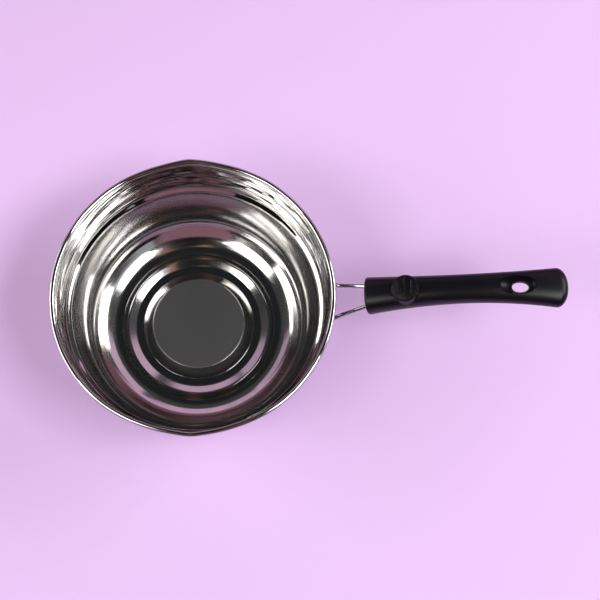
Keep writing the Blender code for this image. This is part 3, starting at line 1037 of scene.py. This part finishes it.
    def hole(self) -> Solid:
        """The hanging hole, which narrows to a neck between two funnels."""
        place = self.spine.frame(self.hang_hole_at)
        rings = []
        for height, long, wide, shift in self.hang_hole:
            ring = [Vector((shift + long * math.cos(t), wide * math.sin(t), height)) for t in around(72)]
            rings.append([place @ point for point in ring])
        return Solid.skinned("hole", rings)

    def build(self) -> None:
        """Make the grip."""
        grip = self.body()
        place = self.spine.frame(self.stack.at)
        grip.combine(self.collar().put(place), Cut.JOIN)
        grip.combine(self.bore().put(place), Cut.REMOVE)
        grip.combine(self.slot(), Cut.REMOVE)
        grip.combine(self.hole(), Cut.REMOVE)
        grip.modifier("WELD", merge_threshold=0.00001)
        grip.settle(38.0).soften(self.edge_round, 42.0)
        grip.settle(38.0).put(Matrix.Translation(self.axis))
        grip.dress(self.finish.material(), Slot.RESIN, "handle_grip")


# ---------------------------------------------------------------- cap and screw


@dataclass(frozen=True)
class ThumbButton:
    """The domed cap over the screw, with three thumb grooves and a stem in the socket."""

    place: Matrix
    stack: Stack
    radius: float = 0.0071
    edge: float = 0.0010
    crown: float = 0.0009
    stem_radius: float = 0.0050
    groove_radius: float = 0.0008
    groove_pitch: float = 0.0042
    groove_half_length: float = 0.0058
    groove_bluntness: float = 0.35
    groove_tip: float = 0.00002
    crown_share: float = 0.955
    crown_steps: int = 14
    crown_round: float = 0.0003
    foot_round: float = 0.0002
    foot_inner: float = 0.0060
    edge_round: float = 0.00012
    finish: MouldedResin = CAP_RESIN

    def groove(self, offset: float, height: float) -> Solid:
        """A round-bottomed groove with rounded ends, across the cap.

        Args:
            offset: its distance from the middle.
            height: the height of its axis.

        Returns:
            The cutter.
        """
        rings = []
        for turn in (math.pi * k / 12 for k in range(13)):
            reach = -self.groove_half_length * math.cos(turn)
            swell = self.groove_radius * max(0.0, math.sin(turn)) ** self.groove_bluntness
            ring = arc((offset, height), max(swell, self.groove_tip), 0.0, math.tau, 24)[:-1]
            rings.append([Vector((x, reach, z)) for x, z in ring])
        return Solid.skinned("groove", rings)

    def build(self) -> None:
        """Make the cap."""
        under = self.stack.collar_top + self.stack.gap
        rim = under + self.edge
        crown = rim + self.crown
        sphere = (self.radius**2 + self.crown**2) / (2 * self.crown)
        lean = math.asin(self.radius * self.crown_share / sphere)
        turns = [lean * k / self.crown_steps for k in range(self.crown_steps + 1)]
        dome = [(sphere * math.sin(turn), crown - sphere * (1 - math.cos(turn))) for turn in turns]
        side = [(self.radius, rim, self.crown_round), (self.radius, under, self.foot_round)]
        edge = rounded([(*dome[-1], 0), *side, (self.foot_inner, under, 0)])
        stem_foot = self.stack.socket_floor + self.stack.gap
        stem = [(self.stem_radius, under), (self.stem_radius, stem_foot), (0.0, stem_foot)]
        cap = Solid.turned("grooved_cap", dome + edge[1:] + stem, 112).put(self.place)
        for k in (-1, 0, 1):
            cap.combine(self.groove(k * self.groove_pitch, crown).put(self.place), Cut.REMOVE)
        cap.settle(38.0).soften(self.edge_round, 35.0)
        cap.settle(38.0).dress(self.finish.material(), Slot.CAP, "thumb_button")


@dataclass(frozen=True)
class ClampScrew:
    """The pan-head screw from below, with a tapered cross recess."""

    place: Matrix
    stack: Stack
    radius: float = 0.0020
    head_radius: float = 0.0040
    head_height: float = 0.0024
    washer: float = 0.0008
    recess_half: float = 0.0021
    recess_wing: float = 0.0005
    recess_depth: float = 0.0013
    recess_ends: Point = (0.45, 0.6)
    recess_overrun: float = 0.001
    head_round: float = 0.0013
    tip_chamfer: float = 0.0005
    plain: float = 0.0008
    pitch: float = 0.0007
    turns: int = 18
    thread_share: float = 0.35
    finish: PlatedSteel = PlatedSteel()

    def recess(self, face: float, turn: float) -> Solid:
        """One wing of the cross recess, which narrows as it goes in.

        Args:
            face: the head's outer face.
            turn: the wing's angle.

        Returns:
            The cutter.
        """
        square = ((-1, -1), (1, -1), (1, 1), (-1, 1))
        rings = []
        for height, along, across in (
            (face - self.recess_overrun, 1.0, 1.0),
            (face, 1.0, 1.0),
            (face + self.recess_depth, *self.recess_ends),
        ):
            half, wing = self.recess_half * along, self.recess_wing * across
            rings.append([Vector((x * half, y * wing, height)) for x, y in square])
        return Solid.skinned("recess", rings).put(self.place @ Matrix.Rotation(turn, 4, "Z"))

    def thread(self, start: float, end: float) -> list[Point]:
        """The shank's outline, with a ridge for each turn of thread.

        Args:
            start: the thread's upper end.
            end: its lower end.

        Returns:
            The outline, from the top down.
        """
        step = (start - end) / (2 * self.turns)
        depths = (0.0, self.pitch * self.thread_share)
        return [(self.radius - depths[k % 2], start - step * k) for k in range(2 * self.turns + 1)]

    def build(self) -> None:
        """Make the screw."""
        seat = self.stack.counterbore_roof - self.washer - 2 * self.stack.gap
        face = seat - self.head_height
        tip = self.stack.socket_floor - self.stack.gap
        edge = (self.head_radius, face, self.head_round)
        head = rounded([(self.head_radius, seat, 0), edge, (0.0, face, 0)], 10)
        thread = self.thread(tip - self.tip_chamfer, seat + self.plain)
        shank = [(0.0, tip), (self.radius - self.tip_chamfer, tip), *thread, (self.radius, seat)]
        screw = Solid.turned("pan_head_screw", [*shank, *head], 72).put(self.place)
        for turn in (math.pi / 4, -math.pi / 4):
            screw.combine(self.recess(face, turn), Cut.REMOVE)
        screw.settle(32.0).dress(self.finish.material(), Slot.PLATED, "clamp_screw")


# ---------------------------------------------------------------- wire bracket


@dataclass(frozen=True)
class Bracket:
    """One wire: down the wall at each foot, out to the grip and round a loop inside it.

    The rows of the weld's flash are the lift off the wall and the share of its full width.
    """

    bowl: Bowl
    spine: Spine
    stack: Stack
    wire: WireShape
    sides: int = 28
    foot_flatten: float = 0.80
    flat_below: float = 0.001
    round_above: float = 0.003
    leg_share: float = 0.1
    cap_shares: tuple[float, ...] = (0.0, 0.35, 0.7, 0.92)
    cap_length: float = 0.6
    cap_tip: float = 0.05
    flash_wide: float = 0.0019
    flash_tall: float = 0.0031
    flash: tuple[Point, ...] = (
        (-0.00025, 1.0),
        (0.00005, 0.97),
        (0.00030, 0.80),
        (0.00055, 0.55),
        (0.00075, 0.25),
    )
    finish: DrawnWire = DrawnWire()
    weld_finish: WeldMetal = WeldMetal()

    def foot(self, height: float) -> Vector:
        """A point of a foot, just clear of the wall."""
        out = self.bowl.wall_radius(height) + self.wire.radius + self.wire.wall_gap
        return Vector((out * math.cos(self.wire.foot_angle), out * math.sin(self.wire.foot_angle), height))

    def feet(self) -> list[Vector]:
        """The middle of each foot."""
        middle = self.foot((self.wire.foot_top + self.wire.foot_bottom) / 2)
        return [middle, Vector((middle.x, -middle.y, middle.z))]

    def path(self) -> list[Vector]:
        """The wire's middle line, from one foot's end to the other's."""
        wire = self.wire
        place, length = loop_frame(self.spine, self.stack, wire)
        loop = arc((0.0, 0.0), wire.spread_at_grip, math.pi / 2, math.pi, 16)
        loop = [place @ Vector((x, y, 0.0)) for x, y in loop]
        mouth = place @ Vector((length, wire.spread_at_grip, 0.0))
        leg = Vector((wire.pot_point[0], wire.spread_at_pot, wire.pot_point[1]))
        start = leg + (mouth - leg) * self.leg_share
        corners = [self.foot(wire.foot_bottom), self.foot(wire.foot_top), start, mouth, loop[0]]
        half = [corners[0]]
        for before, corner, after in zip(corners, corners[1:], corners[2:]):
            half += bend(before, corner, after, wire.bend, 10)
        half += loop
        return half + [Vector((point.x, -point.y, point.z)) for point in reversed(half[:-1])]

    def rings(self) -> list[list[Vector]]:
        """Round sections along the wire, a little flattened where it was welded, with rounded ends."""
        path = self.path()
        tangents = [(b - a).normalized() for a, b in zip(path, path[1:])]
        tangents.append(tangents[-1])
        side = tangents[0].orthogonal().normalized()
        rings = self.cap(path[0], tangents[0], side, -1)
        for k, (centre, tangent) in enumerate(zip(path, tangents)):
            mean = (tangent + tangents[max(0, k - 1)]).normalized()
            side = (side - mean * side.dot(mean)).normalized()
            rings.append(self.ring(centre, mean, side, 1.0))
        return rings + self.cap(path[-1], tangents[-1], side, 1)[::-1]

    def cap(self, centre: Vector, along: Vector, side: Vector, way: int) -> list[list[Vector]]:
        """The growing sections that round one end of the wire.

        Args:
            centre: the end's middle.
            along: the wire's direction.
            side: a direction square to it, where the rings start.
            way: 1 for the far end of the wire and -1 for the near one.

        Returns:
            The sections, the outermost first.
        """
        rings = []
        for share in self.cap_shares:
            swell = math.sin(math.acos(1 - share)) or self.cap_tip
            shift = along * way * (1 - share) * self.wire.radius * self.cap_length
            rings.append(self.ring(centre + shift, along, side, swell))
        return rings

    def ring(self, centre: Vector, along: Vector, side: Vector, swell: float) -> list[Vector]:
        """One section of the wire.

        Args:
            centre: its middle.
            along: the wire's direction.
            side: a direction square to it, where the ring starts.
            swell: the section's share of the full radius.

        Returns:
            The ring's points.
        """
        other = along.cross(side)
        outwards = Vector((centre.x, centre.y, 0.0)).normalized()
        top = self.wire.foot_top
        welded = 1 - ease(centre.z, top - self.flat_below, top + self.round_above)
        squeeze = (1 - self.foot_flatten) * welded
        ring = []
        for turn in around(self.sides):
            spoke = (side * math.cos(turn) + other * math.sin(turn)) * self.wire.radius * swell
            spoke -= outwards * spoke.dot(outwards) * squeeze
            ring.append(centre + spoke)
        return ring

    def build(self) -> None:
        """Make the wire."""
        wire = Solid.skinned("bent_wire", self.rings()).put(Matrix.Translation(self.bowl.axis))
        wire.settle(60.0).dress(self.finish.material(), Slot.WIRE, "wire_bracket")

    def build_welds(self) -> None:
        """Make the flash of metal squeezed out between each foot and the wall."""
        material = self.weld_finish.material()
        for name, foot in zip(("weld_far", "weld_near"), self.feet()):
            outwards = Vector((foot.x, foot.y, 0.0)).normalized()
            across = Vector((-outwards.y, outwards.x, 0.0))
            base = foot - outwards * (self.wire.radius + self.wire.wall_gap)
            rings = []
            for lift, share in self.flash:
                ring = []
                for turn in around(40):
                    lump = 1 + 0.07 * math.sin(3 * turn + foot.y * 900) + 0.05 * math.sin(7 * turn)
                    wide = self.flash_wide * share * lump * math.cos(turn)
                    tall = self.flash_tall * share * lump * math.sin(turn)
                    lean = self.bowl.wall_radius(foot.z + tall) - self.bowl.wall_radius(foot.z)
                    ring.append(base + across * wide + Vector((0.0, 0.0, tall)) + outwards * (lift + lean))
                rings.append(ring)
            weld = Solid.skinned(name, rings).put(Matrix.Translation(self.bowl.axis))
            weld.settle(50.0).dress(material, Slot.WIRE)


# ---------------------------------------------------------------- studio


@dataclass(frozen=True)
class Softbox:
    """A soft rectangular light, placed by its direction from the bowl. The camera doesn't see it.

    Its direction, width and height are in degrees, and it is hung so many metres away.
    """

    name: str
    azimuth: float
    elevation: float
    wide: float
    tall: float
    radiance: Colour
    away: float = 2.0

    def build(self, centre: Vector) -> None:
        """Hang the light so that it faces the bowl.

        Args:
            centre: the middle of the bowl.
        """
        turn, lift = math.radians(self.azimuth), math.radians(self.elevation)
        back = Vector((math.cos(turn) * math.cos(lift), math.sin(turn) * math.cos(lift), math.sin(lift)))
        strongest = max(self.radiance)
        data = bpy.data.lights.new(self.name, "AREA")
        data.shape = "RECTANGLE"
        data.size = 2 * self.away * math.tan(math.radians(self.wide / 2))
        data.size_y = 2 * self.away * math.tan(math.radians(self.tall / 2))
        data.color = [part / strongest for part in self.radiance]
        data.energy = strongest * math.pi * data.size * data.size_y
        lamp = bpy.data.objects.new(self.name, data)
        aim = back.to_track_quat("Z", "Y").to_matrix().to_4x4()
        lamp.matrix_world = Matrix.Translation(centre + back * self.away) @ aim
        lamp.visible_camera = False
        bpy.context.scene.collection.objects.link(lamp)


@dataclass(frozen=True)
class Studio:
    """The floor, the room's dim light, the soft boxes and the camera, whose turn is in degrees."""

    centre: Vector
    floor_half: float = 20.0
    ceiling: Colour = (0.060, 0.062, 0.062)
    dark_side: Colour = (0.006, 0.005, 0.005)
    zenith: Colour = (0.016, 0.018, 0.020)
    horizon: Colour = (0.06, 0.045, 0.06)
    camera_place: Triple = (-0.0265, -0.1962, 0.7305)
    camera_turn: Triple = (16.28, -1.83, -0.38)
    lens: float = 72.0
    dark_edge: Point = (-0.25, 0.25)
    zenith_edge: Point = (0.84, 0.95)
    horizon_edge: Point = (0.02, 0.30)
    horizon_fade: Point = (-0.5, 0.2)
    boxes: tuple[Softbox, ...] = (
        Softbox("window_left", -143.5, 51.0, 27.0, 20.0, (5.6, 5.5, 5.3)),
        Softbox("window_left_low", -181.0, 31.5, 36.0, 11.0, (5.0, 4.9, 4.6)),
        Softbox("window_left_sill", 180.0, 19.0, 64.0, 13.0, (3.6, 3.5, 3.4)),
        Softbox("window_right", -25.0, 56.0, 23.0, 15.0, (12.5, 12.3, 12.3), 1.5),
        Softbox("window_right_low", 14.0, 33.0, 32.0, 14.0, (9.0, 8.8, 8.4), 1.6),
        Softbox("right_fill", -28.0, 44.0, 40.0, 10.0, (0.40, 0.40, 0.44)),
        Softbox("lilac_sheet", 95.0, 29.0, 100.0, 19.0, (0.63, 0.38, 0.57)),
        Softbox("lilac_sheet_right", 48.0, 42.0, 30.0, 14.0, (0.62, 0.40, 0.54)),
        Softbox("lilac_sheet_left", 138.0, 39.0, 26.0, 8.0, (0.50, 0.32, 0.46)),
        Softbox("mauve_card", -89.0, 38.0, 46.0, 24.0, (0.28, 0.135, 0.175)),
        Softbox("warm_card_right", -54.0, 71.0, 6.0, 16.0, (0.27, 0.11, 0.07)),
        Softbox("warm_card_left", -108.0, 75.0, 4.0, 12.0, (0.40, 0.24, 0.16)),
    )

    def floor(self) -> None:
        """Lay the backdrop."""
        half = self.floor_half
        corners = [Vector((x * half, y * half, 0.0)) for x, y in ((-1, -1), (1, -1), (1, 1), (-1, 1))]
        sheet = Solid("backdrop", corners, [(0, 1, 2, 3)])
        sheet.obj.data.materials.append(BackdropPaper().material())

    def world(self) -> None:
        """Fill the room with dim light: a grey ceiling, a dark side and a pale horizon."""
        world = bpy.data.worlds.new("studio_room")
        graph = Graph(world)
        _, y, z = graph.split(graph.node("ShaderNodeTexCoord", output="Generated"))
        sides = graph.mix(graph.step(y, *self.dark_edge), self.dark_side, self.ceiling)
        overhead = graph.mix(graph.step(z, *self.zenith_edge), sides, self.zenith)
        low = (1 - graph.step(z, *self.horizon_edge)) * (0.25 + 0.75 * graph.step(y, *self.horizon_fade))
        light = graph.node("ShaderNodeBackground", {}, {"Color": graph.mix(low, overhead, self.horizon)})
        graph.node("ShaderNodeOutputWorld", {}, {"Surface": light})
        bpy.context.scene.world = world

    def camera(self) -> None:
        """Set up the camera, which looks steeply down on the pot."""
        data = bpy.data.cameras.new("camera")
        data.lens = self.lens
        data.sensor_width = 36.0
        data.clip_start = 0.01
        camera = bpy.data.objects.new("camera", data)
        turn = Euler([math.radians(angle) for angle in self.camera_turn]).to_matrix().to_4x4()
        camera.matrix_world = Matrix.Translation(self.camera_place) @ turn
        bpy.context.scene.collection.objects.link(camera)
        bpy.context.scene.camera = camera

    def build(self) -> None:
        """Set up everything that isn't part of the pot."""
        self.floor()
        self.world()
        for box in self.boxes:
            box.build(self.centre)
        self.camera()
        bpy.context.scene.view_settings.view_transform = "Standard"


# ---------------------------------------------------------------- assembly


def dress_cad_node(name: str, material: bpy.types.Material) -> None:
    """Give a CAD node that stays in view its finish.

    Args:
        name: the node.
        material: its finish.
    """
    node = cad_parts[name]
    node.data.materials.clear()
    node.data.materials.append(material)
    LOG.info("%s: kept from the frame", name)


def main() -> None:
    """Build every piece in order, then the studio."""
    logging.basicConfig(level=logging.INFO, format="%(message)s")
    low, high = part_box("pot_bowl")
    axis = Vector(((low.x + high.x) / 2, 0.0, 0.0))
    spine, stack, wire = Spine(), Stack(), WireShape()
    place = Matrix.Translation(axis) @ spine.frame(stack.at)
    bowl = Bowl(axis)
    bracket = Bracket(bowl, spine, stack, wire)
    bowl.build(bracket.feet())
    bracket.build()
    bracket.build_welds()
    Grip(axis, spine, stack, wire).build()
    ThumbButton(place, stack).build()
    ClampScrew(place, stack).build()
    plated = PlatedSteel("zinc_plated_nut_and_washer").material()
    for name in ("clamp_washer", "clamp_nut"):
        dress_cad_node(name, plated)
    Studio(axis + Vector((0.0, 0.0, 0.03))).build()


if __name__ == "__main__":
    main()
